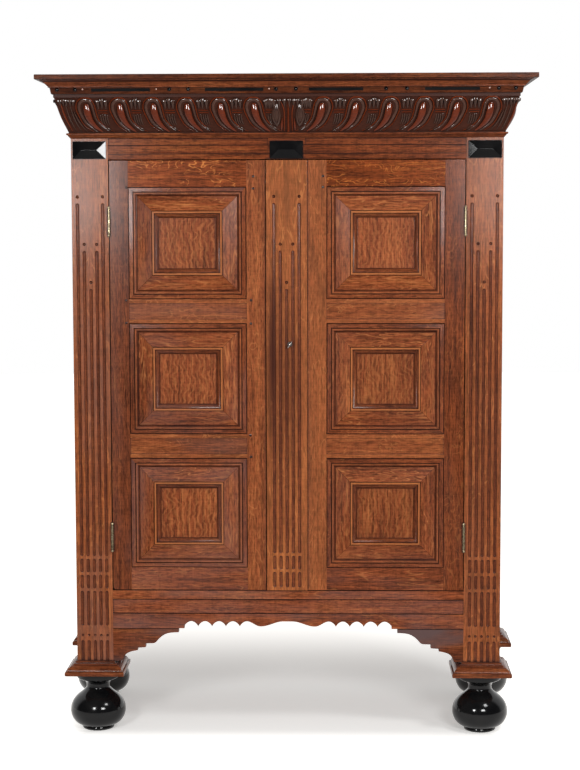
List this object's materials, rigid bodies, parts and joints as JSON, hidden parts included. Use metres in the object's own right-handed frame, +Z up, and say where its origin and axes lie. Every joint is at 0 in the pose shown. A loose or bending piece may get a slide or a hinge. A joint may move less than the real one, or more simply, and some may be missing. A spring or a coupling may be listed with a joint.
{
  "type": "kas cupboard",
  "caption": "Tall two-door oak cupboard with moulded door panels, fluted pilasters, carved cornice, ebony inlays and black ball feet.",
  "frame": {"origin": "on the floor under the middle of the whole cupboard's box", "axes": "+Z up, the doors face -Y, +X to the right as seen from the front"},
  "size_m": [1.602, 0.701, 2.1625],
  "materials": {
    "oak": "reddish-brown oak with a waxed sheen, ray flecks and darkened grooves",
    "carved_oak": "dark waxed carved oak with glossy high points",
    "plain_oak": "plain unpolished oak boards",
    "ebony": "polished ebony",
    "ebonised_foot": "black high-gloss ebonised wood",
    "brass": "worn pale brass",
    "steel": "bright worn steel",
    "iron": "dark forged iron"
  },
  "bodies": {
    "case": {"foot_front_left": "ebonised_foot", "plinth_block_front_left": "oak", "foot_front_right": "ebonised_foot", "plinth_block_front_right": "oak", "foot_rear_left": "ebonised_foot", "plinth_block_rear_left": "oak", "foot_rear_right": "ebonised_foot", "plinth_block_rear_right": "oak", "corner_stile_left": "oak", "bracket_left": "oak", "side_frame_left": "oak", "corner_stile_right": "oak", "bracket_right": "oak", "side_frame_right": "oak", "frieze_rail": "oak", "base_rail": "oak", "ebony_block_left": "ebony", "ebony_block_centre": "ebony", "ebony_block_right": "ebony", "floor_board": "plain_oak", "shelf_lower": "plain_oak", "shelf_upper": "plain_oak", "back_boards": "plain_oak", "ceiling_board": "plain_oak", "cornice_lid": "plain_oak", "frieze_front": "carved_oak", "cornice_return_left": "carved_oak", "cornice_return_right": "carved_oak", "crown_front": "oak", "left_upper_hinge_pin": "brass", "left_lower_hinge_pin": "brass", "right_upper_hinge_pin": "brass", "right_lower_hinge_pin": "brass"},
    "left_door": {"left_door_hinge_stile": "oak", "left_door_meeting_stile": "oak", "left_door_bottom_rail": "oak", "left_door_lower_rail": "oak", "left_door_upper_rail": "oak", "left_door_top_rail": "oak", "left_door_lower_panel": "oak", "left_door_middle_panel": "oak", "left_door_upper_panel": "oak", "left_upper_hinge_leaf": "brass", "left_lower_hinge_leaf": "brass"},
    "right_door": {"right_door_hinge_stile": "oak", "right_door_meeting_stile": "oak", "right_door_bottom_rail": "oak", "right_door_lower_rail": "oak", "right_door_upper_rail": "oak", "right_door_top_rail": "oak", "right_door_lower_panel": "oak", "right_door_middle_panel": "oak", "right_door_upper_panel": "oak", "right_upper_hinge_leaf": "brass", "right_lower_hinge_leaf": "brass", "centre_pilaster": "oak", "lock_case": "iron"},
    "lock_bolt": {"lock_bolt": "iron"},
    "key": {"key": "steel"},
    "left_bolt": {"left_door_bolt": "iron"}
  },
  "joints": [
    {"name": "left_door_hinge", "type": "hinge", "parent": "case", "child": "left_door", "pos_m": [-0.5785, -0.2545, 1.18], "axis": [0, 0, -1], "range_deg": [0, 105]},
    {"name": "right_door_hinge", "type": "hinge", "parent": "case", "child": "right_door", "pos_m": [0.5785, -0.2545, 1.18], "axis": [0, 0, 1], "range_deg": [0, 105]},
    {"name": "lock_bolt_throw", "type": "slide", "parent": "right_door", "child": "lock_bolt", "axis": [-1, 0, 0], "range_m": [0, 0.018]},
    {"name": "key_turn", "type": "hinge", "parent": "right_door", "child": "key", "pos_m": [0.00925, -0.2495, 1.296], "axis": [0, -1, 0], "range_deg": [0, 240]},
    {"name": "left_bolt_slide", "type": "slide", "parent": "left_door", "child": "left_bolt", "axis": [0, 0, 1], "range_m": [0, 0.018]}
  ],
  "couplings": [
    {"joint": "key_turn", "follows": "lock_bolt_throw", "rad_per_m": 232.7}
  ]
}
